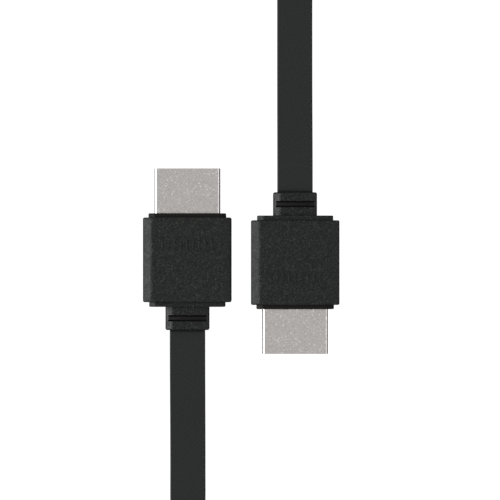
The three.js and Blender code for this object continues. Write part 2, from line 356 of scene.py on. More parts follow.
@dataclass(frozen=True)
class GlassFilledNylon(Finish):
    """Black nylon with glass fibre, moulded: dull, with pale fibre ends just under the skin."""

    name: str = "glass_filled_nylon"
    black: int = 0x161616
    fibre: int = 0x2A2A29
    fibre_mm: float = 0.12
    roughness: float = 0.5

    def shade(self, tree: NodeTree) -> Node:
        """Add the finish's nodes to its material and give the last, the shader."""
        place = add_node(tree, "TexCoord").outputs["Object"]
        drawn = add_node(tree, "Mapping", Vector=place, Scale=(1.0, 0.2, 1.0)).outputs[0]
        fibres = noise(tree, drawn, self.fibre_mm, 3.0)
        share = ramp(tree, fibres, (0.5, 0.0), (0.8, 1.0))
        colour = mix_colour(tree, share, self.black, self.fibre)
        bump = relief(tree, fibres, 0.4, 0.01)
        return add_node(
            tree, "BsdfPrincipled", Base_Color=colour, Roughness=self.roughness, Normal=bump,
        )


@dataclass(frozen=True)
class ExtrudedJacket(Finish):
    """Black PVC jacket, extruded: even and satin, with very faint lines along the cord.

    It reads the cord's own map, in metres along and across, so the lines follow the cord.
    """

    name: str = "extruded_black_pvc"
    black: int = 0x131514
    pale: int = 0x232524
    line_mm: float = 0.35
    speck_mm: float = 0.3
    roughness: float = 0.46
    specular: float = 0.31

    def shade(self, tree: NodeTree) -> Node:
        """Add the finish's nodes to its material and give the last, the shader."""
        flat = add_node(tree, "UVMap", uv_map=FlatCord.MAP_NAME).outputs["UV"]
        drawn = add_node(tree, "Mapping", Vector=flat, Scale=(0.03, 1.0, 1.0)).outputs[0]
        lines = noise(tree, drawn, self.line_mm)
        specks = noise(tree, flat, self.speck_mm)
        share = ramp(tree, specks, (0.35, 0.0), (0.75, 1.0))
        colour = mix_colour(tree, share, self.black, self.pale)
        bump = relief(tree, lines, 0.5, 0.008)
        return add_node(
            tree, "BsdfPrincipled", Base_Color=colour, Roughness=self.roughness,
            Specular_IOR_Level=self.specular, Normal=bump,
        )


@dataclass(frozen=True)
class LoopTape(Finish):
    """Nylon hook-and-loop tape: a dull pile of fine loops over a plain weave."""

    name: str = "nylon_loop_tape"
    dark: int = 0x0D0D0D
    pale: int = 0x2A2A2A
    loop_mm: float = 0.42
    thread_mm: float = 0.9
    depth_mm: float = 0.12

    def shade(self, tree: NodeTree) -> Node:
        """Add the finish's nodes to its material and give the last, the shader."""
        place = add_node(tree, "TexCoord").outputs["Object"]
        loops = add_node(
            tree, "TexVoronoi", Vector=place, Scale=per_metre(self.loop_mm),
        ).outputs["Distance"]
        thread = add_node(
            tree, "TexWave", Vector=place, Scale=per_metre(self.thread_mm) / math.tau,
            Distortion=1.5,
        ).outputs["Fac"]
        height = add_node(tree, "Math", operation="ADD", in_0=loops, in_1=thread).outputs[0]
        bump = relief(tree, height, 0.8, self.depth_mm)
        colour = mix_colour(tree, ramp(tree, loops, (0.1, 0.0), (0.7, 1.0)), self.dark, self.pale)
        return add_node(
            tree, "BsdfPrincipled", Base_Color=colour, Roughness=0.95, Specular_IOR_Level=0.2,
            Sheen_Weight=0.3, Normal=bump,
        )


@dataclass(frozen=True)
class LightTable(Finish):
    """Opal acrylic top of a light table, lit from below, so it shows plain white."""

    name: str = "opal_light_table"
    white: int = 0x505050
    haze: int = 0x585858
    haze_mm: float = 40.0
    glow: float = 1.0

    def shade(self, tree: NodeTree) -> Node:
        """Add the finish's nodes to its material and give the last, the shader."""
        seen = add_node(tree, "LightPath").outputs["Is Camera Ray"]
        place = add_node(tree, "TexCoord").outputs["Object"]
        haze = noise(tree, place, self.haze_mm)
        colour = mix_colour(tree, haze, self.white, self.haze)
        return add_node(
            tree, "BsdfPrincipled", Base_Color=colour, Roughness=0.7, Specular_IOR_Level=0.1,
            Emission_Color=linear(0xFFFFFF),
            Emission_Strength=ramp(tree, seen, (0.0, 0.0), (1.0, self.glow)),
        )


# Working with meshes


def only(piece: Object) -> None:
    """Make a piece the only selected object, and the active one."""
    bpy.ops.object.select_all(action="DESELECT")
    piece.select_set(True)
    bpy.context.view_layer.objects.active = piece


def add_block(
    name: str, size: tuple[float, float, float], centre: tuple[float, float, float]
) -> Object:
    """Add a block of that size at its place, in millimetres.

    Args:
        name: The object's name.
        size: Its size along x, y and z.
        centre: The middle of the block.

    Returns:
        The new object, with its size in its mesh.
    """
    bpy.ops.object.select_all(action="DESELECT")
    bpy.ops.mesh.primitive_cube_add(size=1.0, location=centre)
    block = bpy.context.active_object
    block.name = name
    block.scale = size
    bpy.ops.object.transform_apply(location=True, rotation=True, scale=True)
    return block


class Part(Enum):
    """Kinds of mesh part: the select mode, the name in a mesh and what a test of it takes."""

    POINTS = ("VERT", "verts", lambda point: (point.co,))
    EDGES = ("EDGE", "edges", lambda edge: (edge.verts[0].co, edge.verts[1].co))
    FACES = ("FACE", "faces", lambda face: (face.calc_center_median(), face.normal))


def select(piece: Object, part: Part, wanted: Callable[..., bool]) -> None:
    """Select the points, edges or faces that pass a test, on a piece in edit mode.

    Args:
        piece: The piece that is being edited.
        part: What is selected.
        wanted: The test. It takes a point's place, the places of an edge's two ends, or the
            middle and the normal of a face.
    """
    mode, group, facts = part.value
    bpy.ops.mesh.select_all(action="DESELECT")
    bpy.ops.mesh.select_mode(type=mode)
    mesh = bmesh.from_edit_mesh(piece.data)
    for item in getattr(mesh, group):
        if wanted(*facts(item)):
            item.select_set(True)
    bmesh.update_edit_mesh(piece.data)


def bevel(offset: float, segments: int) -> None:
    """Round the selected edges.

    Args:
        offset: The width of the rounding on each side, in millimetres.
        segments: The number of facets across it.
    """
    bpy.ops.mesh.bevel(
        offset=offset, offset_type="OFFSET", segments=segments, profile=0.5, affect="EDGES"
    )


def runs_along_y(start: Vector, end: Vector) -> bool:
    """Tell whether an edge runs along the plug."""
    return abs(start.x - end.x) < CLOSE and abs(start.z - end.z) < CLOSE


def both_at_y(place: float) -> Callable[[Vector, Vector], bool]:
    """Make a test for edges that lie across the plug at one place along it.

    Args:
        place: The place along y, in millimetres.

    Returns:
        The test.
    """
    return lambda start, end: abs(start.y - place) < CLOSE and abs(end.y - place) < CLOSE


def apply_modifier(piece: Object, kind: str, **settings: object) -> None:
    """Add a modifier with its settings and apply it.

    Args:
        piece: The piece that it changes.
        kind: The modifier's type.
        settings: Its properties by name.
    """
    only(piece)
    modifier = piece.modifiers.new(kind.lower(), kind)
    for key, value in settings.items():
        setattr(modifier, key, value)
    bpy.ops.object.modifier_apply(modifier=modifier.name)


def combine(piece: Object, other: Object, operation: str) -> None:
    """Join another solid to a piece or cut it out of the piece, and remove that solid.

    Args:
        piece: The piece that is kept.
        other: The solid that is joined or cut out.
        operation: UNION or DIFFERENCE.
    """
    apply_modifier(piece, "BOOLEAN", object=other, operation=operation, solver="EXACT")
    bpy.data.objects.remove(other)


def smooth(piece: Object, degrees: float) -> None:
    """Shade a piece smooth up to an angle, with its large faces kept flat.

    Args:
        piece: The piece.
        degrees: The largest angle between faces that is shaded smooth.
    """
    only(piece)
    bpy.ops.object.shade_smooth_by_angle(angle=math.radians(degrees))
    apply_modifier(piece, "WEIGHTED_NORMAL", keep_sharp=True)


class Plug(Enum):
    """The two plugs, each with its tip's place in millimetres and its turn in degrees."""

    A = (-11.42, 19.64, 0.0)
    B = (11.42, -19.64, 180.0)

    @property
    def prefix(self) -> str:
        """The start of the names of this plug's nodes."""
        return f"plug_{self.name.lower()}"

    def settle(self, model: Object, name: str, aside: float = 0.0) -> Object:
        """Copy a model from the plug's own frame to where this plug lies.

        Args:
            model: The model, in millimetres.
            name: The new piece's name.
            aside: How far the copy is shifted across the plug first, in millimetres.

        Returns:
            The piece, in metres, with its place in its mesh.
        """
        piece = model.copy()
        piece.data = model.data.copy()
        piece.name = name
        bpy.context.scene.collection.objects.link(piece)
        x, y, turn = self.value
        place = Matrix.Translation((x * MM, y * MM, 0.0))
        place = place @ Matrix.Rotation(math.radians(turn), 4, "Z") @ Matrix.Scale(MM, 4)
        piece.matrix_world = place @ Matrix.Translation((aside, 0.0, 0.0))
        only(piece)
        bpy.ops.object.transform_apply(location=True, rotation=True, scale=True)
        return piece


def mount(piece: Object, slot: str, *nodes: str) -> None:
    """Let a piece ride on the lead's body in the place of CAD nodes, and report it.

    Args:
        piece: The finished piece.
        slot: The record's material slot for the piece; it is not used.
        nodes: The CAD nodes that it stands for.
    """
    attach(piece, "root")
    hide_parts(*nodes)
    log.info("%s stands for %s", piece.name, ", ".join(nodes))


# The flat cord, its coil and its strap


@dataclass
class FlatCord:
    """The flat cord from plug A to plug B, one ribbon with its spare length in a coil."""

    MAP_NAME = "jacket_map"

    width: float = 0.0075
    thickness: float = 0.0026
    edge_round: float = 0.00022
    edge_support: float = 0.00012
    edge_facets: int = 3
    ring_step: float = 0.002
    spline_steps: int = 12
    length: float = 1.4339
    relief_mouth: tuple[float, float, float] = (-0.01142, -0.01461, 0.0049)
    coil_centre: tuple[float, float] = (0.02338, -0.0888)
    coil_outer: float = 0.0348
    coil_inner: float = 0.0271
    coil_turns: float = 5.5
    coil_points_per_turn: int = 24
    coil_lower: float = 0.00465
    coil_upper: float = 0.01235
    crossing_share: float = 0.03
    crossing_dip: float = 0.0009
    join_ahead: float = 0.0074
    join_low: float = 0.0046
    join_high: float = 0.0123
    join_roll: float = 89.0

    # x, y, z in metres and roll in degrees: 0 lies flat and 90 stands on edge
    from_plug_a: tuple[Place, ...] = (
        (-0.01142, -0.0134, 0.0049, 0),
        (-0.01142, -0.017, 0.00488, 0),
        (-0.01142, -0.021, 0.0046, 0),
        (-0.01142, -0.025, 0.00395, 0),
        (-0.01142, -0.029, 0.00315, 0),
        (-0.01142, -0.033, 0.00235, 0),
        (-0.01142, -0.037, 0.00172, 0),
        (-0.01142, -0.041, 0.0014, 0),
        (-0.01142, -0.046, 0.00132, 0),
        (-0.01142, -0.051, 0.00136, 0),
        (-0.01142, -0.055, 0.00185, 9),
        (-0.01142, -0.059, 0.0027, 26),
        (-0.01142, -0.063, 0.00334, 44),
        (-0.01142, -0.067, 0.00388, 61),
        (-0.01142, -0.0705, 0.00415, 74),
        (-0.01142, -0.074, 0.00445, 84),
    )
    to_plug_b: tuple[Place, ...] = (
        (0.05818, -0.074, 0.0121, 90),
        (0.05818, -0.068, 0.0116, 90),
        (0.05818, -0.06, 0.0105, 90),
        (0.05818, -0.05, 0.0087, 90),
        (0.05818, -0.04, 0.0068, 90),
        (0.05818, -0.03, 0.0052, 90),
        (0.05818, -0.02, 0.00415, 90),
        (0.05818, -0.01, 0.0038, 90),
        (0.05818, 0.005, 0.00378, 90),
        (0.05818, 0.02, 0.00378, 90),
        (0.05818, 0.035, 0.00378, 90),
        (0.05818, 0.05, 0.00378, 90),
        (0.05818, 0.06, 0.00378, 90),
        (0.05818, 0.07, 0.00378, 90),
        (0.0564, 0.079, 0.00378, 90),
        (0.05133, 0.0865, 0.00378, 90),
        (0.04375, 0.0916, 0.0038, 90),
        (0.0348, 0.0934, 0.00383, 88),
        (0.02585, 0.0916, 0.0039, 80),
        (0.01827, 0.0865, 0.00386, 63),
        (0.0132, 0.079, 0.00326, 41),
        (0.0115, 0.07, 0.00236, 18),
        (0.01142, 0.062, 0.0016, 4),
        (0.01142, 0.055, 0.00134, 0),
        (0.01142, 0.046, 0.00134, 0),
        (0.01142, 0.041, 0.0014, 0),
        (0.01142, 0.037, 0.00172, 0),
        (0.01142, 0.033, 0.00235, 0),
        (0.01142, 0.029, 0.00315, 0),
        (0.01142, 0.025, 0.00395, 0),
        (0.01142, 0.021, 0.0046, 0),
        (0.01142, 0.017, 0.00488, 0),
        (0.01142, 0.0134, 0.0049, 0),
    )

    def coil_points(self) -> list[Place]:
        """Wind the coil: a lower layer inwards, then an upper layer outwards, on edge."""
        count = round(self.coil_turns * self.coil_points_per_turn)
        points = []
        for i in range(count + 1):
            share = i / count
            angle = math.pi + share * self.coil_turns * math.tau
            away = abs(2 * share - 1)
            radius = self.coil_inner + (self.coil_outer - self.coil_inner) * away
            crossing = min(1.0, abs(share - 0.5) / (2 * self.crossing_share))
            radius -= self.crossing_dip * (1 - crossing) ** 2 * (1 + 2 * crossing)
            rise = min(1.0, max(0.0, (share - 0.5) / (2 * self.crossing_share) + 0.5))
            rise = rise * rise * (3 - 2 * rise)
            height = self.coil_lower + (self.coil_upper - self.coil_lower) * rise
            x = self.coil_centre[0] + radius * math.cos(angle)
            y = self.coil_centre[1] + radius * math.sin(angle)
            points.append((x, y, height, 90.0))
        return points

    def centreline(self) -> list[Vector]:
        """Give evenly spaced places along the whole cord, each with its roll as a fourth value."""
        x, y = self.coil_centre
        y += self.join_ahead
        lead_in = (x - self.coil_outer, y, self.join_low, self.join_roll)
        lead_out = (x + self.coil_outer, y, self.join_high, 90.0)
        route = (*self.from_plug_a, lead_in, *self.coil_points(), lead_out, *self.to_plug_b)
        knots = [Vector(p) for p in route]
        knots = [2 * knots[0] - knots[1], *knots, 2 * knots[-1] - knots[-2]]
        fine = []
        for a, b, c, d in zip(knots, knots[1:], knots[2:], knots[3:]):
            for step in range(self.spline_steps):
                t = step / self.spline_steps
                fine.append(
                    0.5
                    * (
                        2 * b
                        + (c - a) * t
                        + (2 * a - 5 * b + 4 * c - d) * t**2
                        + (3 * b - a - 3 * c + d) * t**3
                    )
                )
        fine.append(knots[-2])
        return self.spread_evenly(fine)

    def spread_evenly(self, fine: list[Vector]) -> list[Vector]:
        """Space a line's places evenly along it.

        Args:
            fine: The places, unevenly spaced.

        Returns:
            Places about ring_step apart, with the two ends kept.
        """
        reached = [0.0]
        for start, end in zip(fine, fine[1:]):
            reached.append(reached[-1] + (end.xyz - start.xyz).length)
        count = math.ceil(reached[-1] / self.ring_step)
        even = []
        at = 0
        for i in range(count + 1):
            wanted = reached[-1] * i / count
            while at < len(fine) - 2 and reached[at + 1] < wanted:
                at += 1
            share = (wanted - reached[at]) / (reached[at + 1] - reached[at])
            place = fine[at].lerp(fine[at + 1], min(1.0, share))
            place.z = max(place.z, self.half_height(place[3]))
            even.append(place)
        log.info("the cord's centreline is %.1f mm long", reached[-1] / MM)
        return even

    def half_height(self, roll: float) -> float:
        """Give half the ribbon's height when it is rolled, so that it can rest on the floor.

        Args:
            roll: Its roll in degrees.
        """
        turn = math.radians(roll)
        across = (self.width / 2 - self.edge_round) * abs(math.sin(turn))
        through = (self.thickness / 2 - self.edge_round) * abs(math.cos(turn))
        return across + through + self.edge_round

    def section(self) -> list[tuple[float, float]]:
        """Outline the jacket's section: near-square edges, with a support beside each rounding."""
        x = self.width / 2 - self.edge_round
        y = self.thickness / 2 - self.edge_round
        outline = []
        for sign_x, sign_y, first in ((1, 1, 0), (-1, 1, 90), (-1, -1, 180), (1, -1, 270)):
            arc = []
            for i in range(self.edge_facets + 1):
                angle = math.radians(first + 90 * i / self.edge_facets)
                arc.append(
                    (
                        sign_x * x + self.edge_round * math.cos(angle),
                        sign_y * y + self.edge_round * math.sin(angle),
                    )
                )
            turn = math.radians(first)
            back = (math.sin(turn) * self.edge_support, -math.cos(turn) * self.edge_support)
            ahead = (-math.cos(turn) * self.edge_support, -math.sin(turn) * self.edge_support)
            outline.append((arc[0][0] + back[0], arc[0][1] + back[1]))
            outline.extend(arc)
            outline.append((arc[-1][0] + ahead[0], arc[-1][1] + ahead[1]))
        return outline

    def build(self, jacket: Material) -> tuple[Object, list[Vector]]:
        """Build the cord's mesh along its centreline.

        Args:
            jacket: The cord's material.

        Returns:
            The cord and its centreline.
        """
        line = self.centreline()
        outline = self.section()
        around = [0.0]
        for (x0, y0), (x1, y1) in zip(outline, outline[1:] + outline[:1]):
            around.append(around[-1] + math.hypot(x1 - x0, y1 - y0))
        places = []
        for i, here in enumerate(line):
            ahead = (line[min(i + 1, len(line) - 1)].xyz - line[max(i - 1, 0)].xyz).normalized()
            level = ahead.cross(Vector((0, 0, 1))).normalized()
            over = level.cross(ahead)
            roll = math.radians(here[3])
            side = level * math.cos(roll) + over * math.sin(roll)
            normal = ahead.cross(side)
            places += [here.xyz + side * x + normal * y for x, y in outline]
        n = len(outline)
        faces = []
        for i in range(len(line) - 1):
            for j in range(n):
                k = (j + 1) % n
                faces.append((i * n + j, i * n + k, (i + 1) * n + k, (i + 1) * n + j))
        faces.append(tuple(reversed(range(n))))
        faces.append(tuple((len(line) - 1) * n + j for j in range(n)))
        mesh = bpy.data.meshes.new("flat_cord")
        mesh.from_pydata(places, [], faces)
        mesh.materials.append(jacket)
        self.map_jacket(mesh, n, len(line), around)
        mesh.shade_smooth()
        cord = bpy.data.objects.new("flat_cord", mesh)
        bpy.context.scene.collection.objects.link(cord)
        return cord, line

    def map_jacket(self, mesh: Mesh, sides: int, rings: int, around: list[float]) -> None:
        """Give the cord a map in metres along and across it.

        Args:
            mesh: The cord's mesh.
            sides: The number of points round the section.
            rings: The number of rings along the cord.
            around: The distance round the section at each of its points, and all the way.
        """
        jacket_map = mesh.uv_layers.new(name=self.MAP_NAME)
        step = self.length / (rings - 1)
        for face in mesh.polygons:
            for corner in face.loop_indices:
                vertex = mesh.loops[corner].vertex_index
                ring, j = divmod(vertex, sides)
                across = around[j]
                if len(face.loop_indices) == 4 and j == 0 and face.index % sides == sides - 1:
                    across = around[sides]
                jacket_map.data[corner].uv = (ring * step, across)


@dataclass
class CoilStrap:
    """Hook-and-loop strap round the coil's section, with its end lapped over the top.

    Sizes are in millimetres, on the middle of the tape.
    """

    width: float = 10.0
    thickness: float = 0.76
    fold: float = 0.8
    end_round: float = 1.6
    centre_x: float = 23.38
    inner_y: float = -113.61
    outer_y: float = -125.4
    start_y: float = -124.9
    lap_y: float = -118.0
    floor_z: float = 0.4
    top_z: float = 16.6
    lap_z: float = 17.4
    fold_facets: int = 4
    end_facets: int = 5
    smooth_angle: float = 40.0

    def build(self, tape: Material) -> Object:
        """Fold the strap from one flat panel.

        Args:
            tape: The strap's material.

        Returns:
            The strap, in metres.
        """
        bpy.ops.object.select_all(action="DESELECT")
        bpy.ops.mesh.primitive_plane_add(
            size=1.0, location=(self.centre_x, (self.start_y + self.inner_y) / 2, self.top_z)
        )
        strap = bpy.context.active_object
        strap.name = "strap_tape"
        strap.scale = (self.width, self.inner_y - self.start_y, 1.0)
        bpy.ops.object.transform_apply(location=True, rotation=True, scale=True)
        bpy.ops.object.mode_set(mode="EDIT")
        select(strap, Part.EDGES, both_at_y(self.inner_y))
        moves = [
            (0.0, 0.0, self.floor_z - self.top_z),
            (0.0, self.outer_y - self.inner_y, 0.0),
            (0.0, 0.0, self.lap_z - self.floor_z),
            (0.0, self.lap_y - self.outer_y, 0.0),
        ]
        for move in moves:
            bpy.ops.mesh.extrude_region_move(TRANSFORM_OT_translate={"value": move})
        folds = (self.inner_y, self.outer_y)
        select(
            strap,
            Part.EDGES,
            lambda start, end: abs(start.y - end.y) < CLOSE
            and abs(start.z - end.z) < CLOSE
            and any(abs(start.y - fold) < CLOSE for fold in folds),
        )
        bevel(self.fold, self.fold_facets)
        select(
            strap,
            Part.POINTS,
            lambda point: abs(point.z - self.lap_z) < CLOSE
            and abs(point.y - self.lap_y) < CLOSE,
        )
        bpy.ops.mesh.bevel(
            offset=self.end_round, segments=self.end_facets, affect="VERTICES"
        )
        bpy.ops.object.mode_set(mode="OBJECT")
        apply_modifier(strap, "SOLIDIFY", thickness=self.thickness, offset=0.0)
        smooth(strap, self.smooth_angle)
        strap.scale = (MM, MM, MM)
        bpy.ops.object.transform_apply(location=True, rotation=True, scale=True)
        strap.data.materials.append(tape)
        return strap


# The plugs


@dataclass
class PlugShell:
    """Metal shell of a plug: one bent sheet, open at both ends, with its seam underneath.

    Sizes are in millimetres, in the plug's own frame.
    """

    width: float = 13.9
    height: float = 4.45
    length: float = 15.5
    wall: float = 0.3
    corner: float = 0.65
    slant_across: float = 1.75
    slant_up: float = 1.6
    axis_z: float = 4.9
    rim_round: float = 0.07
    seam_width: float = 0.1
    seam_depth: float = 0.12
    corner_facets: int = 6
    rim_facets: int = 2
    rim_angle: float = 60.0
    smooth_angle: float = 40.0

    def solid(self, name: str, front_y: float, length: float, grow: float) -> Object:
        """Build the solid that fills the shell's outline.

        Args:
            name: The solid's name.
            front_y: Where its front is.
            length: How far it runs back.
            grow: How much larger it is than the shell, all round.

        Returns:
            The solid.
        """
        slant = math.atan2(self.slant_up, self.slant_across)
        across = self.slant_across - grow * (1 / math.sin(slant) - 1 / math.tan(slant) - 1)
        up = across * math.tan(slant)
        width = self.width + 2 * grow
        block = add_block(
            name,
            (width, length, self.height + 2 * grow),
            (0.0, front_y - length / 2, self.axis_z),
        )
        bpy.ops.object.mode_set(mode="EDIT")
        select(
            block, Part.EDGES, lambda start, end: runs_along_y(start, end) and start.z > self.axis_z
        )
        bevel(self.corner + grow, self.corner_facets)
        bottom = self.axis_z - self.height / 2 - grow
        select(
            block,
            Part.EDGES,
            lambda start, end: runs_along_y(start, end) and abs(start.z - bottom) < CLOSE,
        )
        bevel(up, 1)
        select(block, Part.POINTS, lambda point: abs(point.z - bottom) < CLOSE)
        bpy.ops.transform.resize(
            value=((width / 2 - across) / (width / 2 - up), 1.0, 1.0),
            center_override=(0.0, 0.0, bottom),
        )
        bpy.ops.object.mode_set(mode="OBJECT")
        return block

    def build(self, plating: Material) -> Object:
        """Build the shell's model.

        Args:
            plating: The shell's material.

        Returns:
            The model, in millimetres.
        """
        shell = self.solid("shell_model", 0.0, self.length, 0.0)
        bpy.ops.object.mode_set(mode="EDIT")
        select(shell, Part.FACES, lambda _, normal: abs(normal.y) > 0.9)
        bpy.ops.mesh.delete(type="FACE")
        bpy.ops.object.mode_set(mode="OBJECT")
        apply_modifier(
            shell, "SOLIDIFY", thickness=self.wall, offset=-1.0, use_even_offset=True
        )
        seam = add_block(
            "seam_cutter",
            (self.seam_width, 2 * self.length, 2 * self.seam_depth),
            (0.0, -self.length / 2, self.axis_z - self.height / 2),
        )
        combine(shell, seam, "DIFFERENCE")
        apply_modifier(
            shell,
            "BEVEL",
            width=self.rim_round,
            segments=self.rim_facets,
            limit_method="ANGLE",
            angle_limit=math.radians(self.rim_angle),
        )
        smooth(shell, self.smooth_angle)
        shell.data.materials.append(plating)
        return shell


@dataclass(frozen=True)
class Slant:
    """Slanted long edges of a block that runs along y, in millimetres."""

    across: float
    up: float
    soft_side: float
    soft_flat: float
    side_facets: int = 4
    flat_facets: int = 3

    def cut(self, block: Object, half: float, middle: float) -> None:
        """Slant the four long edges of a block in edit mode, and soften the edges this makes.

        Args:
            block: The block, centred on x 0.
            half: Half its width.
            middle: The height of its middle.
        """
        select(block, Part.EDGES, runs_along_y)
        bevel(self.up, 1)
        heights = [point.co.z for point in bmesh.from_edit_mesh(block.data).verts]
        flats = (min(heights), max(heights))

        def in_flat(point: Vector) -> bool:
            """Tell whether a point is in the top or in the underside."""
            return min(abs(point.z - flat) for flat in flats) < CLOSE

        select(block, Part.POINTS, in_flat)
        bpy.ops.transform.resize(
            value=((half - self.across) / (half - self.up), 1.0, 1.0),
            center_override=(0.0, 0.0, middle),
        )
        select(
            block, Part.EDGES, lambda start, end: runs_along_y(start, end) and in_flat(start)
        )
        bevel(self.soft_flat, self.flat_facets)
        select(
            block,
            Part.EDGES,
            lambda start, end: runs_along_y(start, end) and abs(abs(start.x) - half) < CLOSE,
        )
        bevel(self.soft_side, self.side_facets)


@dataclass
class PlugMoulding:
    """Overmoulding of a plug: body, front collar, rear step and strain relief in one.

    Sizes are in millimetres, in the plug's own frame.
    """

    width: float = 18.7
    height: float = 9.8
    length: float = 17.9
    front_y: float = -10.4
    slant: Slant = Slant(across=1.75, up=1.1, soft_side=0.35, soft_flat=0.42)
    rim_round: float = 0.32
    collar_width: float = 16.4
    collar_length: float = 0.9
    step_width: float = 16.1
    step_length: float = 1.0
    step_height: float = 7.6
    step_slant: Slant = Slant(across=1.3, up=0.8, soft_side=0.25, soft_flat=0.2)
    step_rim: float = 0.2
    relief_width: float = 9.3
    relief_height: float = 5.4
    relief_length: float = 4.95
    relief_slant: Slant = Slant(across=1.45, up=0.95, soft_side=0.35, soft_flat=0.35)
    relief_rim: float = 0.36
    groove_width: float = 0.36
    groove_depth: float = 1.25
    groove_spacing: float = 1.0
    groove_from_step: float = 1.75
    groove_end_wall: float = 0.55
    rib_drop: float = 0.5
    overlap: float = 0.8
    shell_seated: float = 6.0
    fit: float = 0.05
    mouth_width: float = 7.6
    mouth_height: float = 2.7
    mouth_depth: float = 1.5
    grip_count: int = 9
    grip_pitch: float = 1.3
    grip_size: tuple[float, float, float] = (0.45, 2.2, 0.14)
    grip_y: float = -16.1
    grip_round: float = 0.7
    grip_facets: int = 2
    rim_facets: int = 3
    smooth_angle: float = 35.0

    @property
    def back_y(self) -> float:
        """Where the body ends and the rear step starts."""
        return self.front_y - self.length

    @property
    def relief_y(self) -> float:
        """Where the rear step ends and the strain relief starts."""
        return self.back_y - self.step_length

    @property
    def end_y(self) -> float:
        """Where the strain relief ends and the cord comes out."""
        return self.relief_y - self.relief_length

    def block(
        self,
        name: str,
        section: tuple[float, float],
        ends: tuple[float, float],
        slant: Slant,
        rim: float,
    ) -> Object:
        """Build one block of the moulding, with slanted long edges and round rims.

        Args:
            name: The object's name.
            section: Its width and height.
            ends: Where it starts and ends along y.
            slant: The slant of its long edges.
            rim: The rounding of the rims round its two ends.

        Returns:
            The block, on the plug's axis.
        """
        start, end = ends
        width, height = section
        middle = (0.0, (start + end) / 2, self.height / 2)
        block = add_block(name, (width, start - end, height), middle)
        bpy.ops.object.mode_set(mode="EDIT")
        slant.cut(block, width / 2, self.height / 2)
        for place in ends:
            select(block, Part.EDGES, both_at_y(place))
            bevel(rim, self.rim_facets)
        bpy.ops.object.mode_set(mode="OBJECT")
        return block

    def blocks(self) -> Object:
        """Join the body with its collar, its rear step and its strain relief."""
        body = self.block(
            "moulding_model",
            (self.width, self.height),
            (self.front_y, self.back_y),
            self.slant,
            self.rim_round,
        )
        step_height = self.step_height
        parts = (
            self.block(
                "collar_block",
                (self.collar_width, step_height),
                (self.front_y + self.collar_length, self.front_y - self.overlap),
                self.step_slant,
                self.step_rim,
            ),
            self.block(
                "rear_step_block",
                (self.step_width, step_height),
                (self.back_y + self.overlap, self.relief_y),
                self.step_slant,
                self.step_rim,
            ),
            self.block(
                "relief_block",
                (self.relief_width, self.relief_height),
                (self.relief_y + self.overlap, self.end_y),
                self.relief_slant,
                self.relief_rim,
            ),
        )
        for part in parts:
            combine(body, part, "UNION")
        return body

    def cut_grooves(self, body: Object, side: int) -> None:
        """Cut the two grooves and lower the rib between them.

        Args:
            body: The moulding.
            side: 1 for the top and -1 for the underside.
        """
        surface = self.height / 2 + side * self.relief_height / 2
        across = self.relief_width - 2 * self.groove_end_wall
        first = self.relief_y - self.groove_from_step
        for start in (first, first - self.groove_spacing):
            groove = add_block(
                "groove_cutter",
                (across, self.groove_width, 2 * self.groove_depth),
                (0.0, start - self.groove_width / 2, surface),
            )
            combine(body, groove, "DIFFERENCE")
        between = self.groove_spacing + self.groove_width
        rib = add_block(
            "rib_cutter",
            (across, between, 2 * self.rib_drop),
            (0.0, first - between / 2, surface),
        )
        combine(body, rib, "DIFFERENCE")

    def in_painted_shade_recess(self, face: MeshPolygon) -> bool:
        """Tell whether a face of the moulding is in the grooves or on the rib between them, where
        the painted shade goes.
        """
        start = self.relief_y - self.groove_from_step
        end = start - self.groove_spacing - self.groove_width
        half = self.relief_width / 2 - self.groove_end_wall
        centre = face.center
        square = max(abs(part) for part in face.normal) > 0.99
        lower = abs(centre.z - self.height / 2) < self.relief_height / 2 - CLOSE
        inside = end - CLOSE < centre.y < start + CLOSE and abs(centre.x) < half + CLOSE
        return square and lower and inside

    def add_grips(self, body: Object) -> None:
        """Raise a row of short low ribs on top of the body, for the thumb."""
        x, y, z = self.grip_size
        grip = add_block(
            "grip_block",
            (x, y, 2 * z),
            (-self.grip_pitch * (self.grip_count - 1) / 2, self.grip_y, self.height),
        )
        bpy.ops.object.mode_set(mode="EDIT")
        select(grip, Part.FACES, lambda _, normal: normal.z > 0.9)
        bevel(z * self.grip_round, self.grip_facets)
        bpy.ops.object.mode_set(mode="OBJECT")
        apply_modifier(
            grip,
            "ARRAY",
            count=self.grip_count,
            use_relative_offset=False,
            use_constant_offset=True,
            constant_offset_displace=(self.grip_pitch, 0.0, 0.0),
        )
        combine(body, grip, "UNION")

    def build(self, shell: PlugShell, finishes: tuple[Material, ...]) -> Object:
        """Build the moulding's model.

        Args:
            shell: The shell that sits in it.
            finishes: The materials of the body, the collar, the grooves and the relief; the
                collar's and the grooves' are darkened as painted shade.

        Returns:
            The model, in millimetres.
        """
        body = self.blocks()
        collar_y = self.front_y + self.collar_length
        depth = self.overlap + self.shell_seated + self.fit
        seat = shell.solid("seat_cutter", collar_y + self.overlap, depth, self.fit)
        combine(body, seat, "DIFFERENCE")
        mouth = add_block(
            "mouth_cutter",
            (self.mouth_width, self.mouth_depth + self.overlap, self.mouth_height),
            (
                0.0,
                self.end_y + self.mouth_depth - (self.mouth_depth + self.overlap) / 2,
                self.height / 2,
            ),
        )
        combine(body, mouth, "DIFFERENCE")
        self.cut_grooves(body, 1)
        self.cut_grooves(body, -1)
        self.add_grips(body)
        smooth(body, self.smooth_angle)
        for finish in finishes:
            body.data.materials.append(finish)
        # The collar, and the grooves with the rib between them, take the materials painted darker
        # as painted shade
        for face in body.data.polygons:
            if face.center.y > self.front_y + CLOSE:
                face.material_index = 1
            elif self.in_painted_shade_recess(face):
                face.material_index = 2
            elif face.center.y < self.relief_y:
                face.material_index = 3
        return body


class Row(Enum):
    """The two rows of contacts, each with its count, its first number and its side."""

    UPPER = (10, 1, 1)
    LOWER = (9, 2, -1)


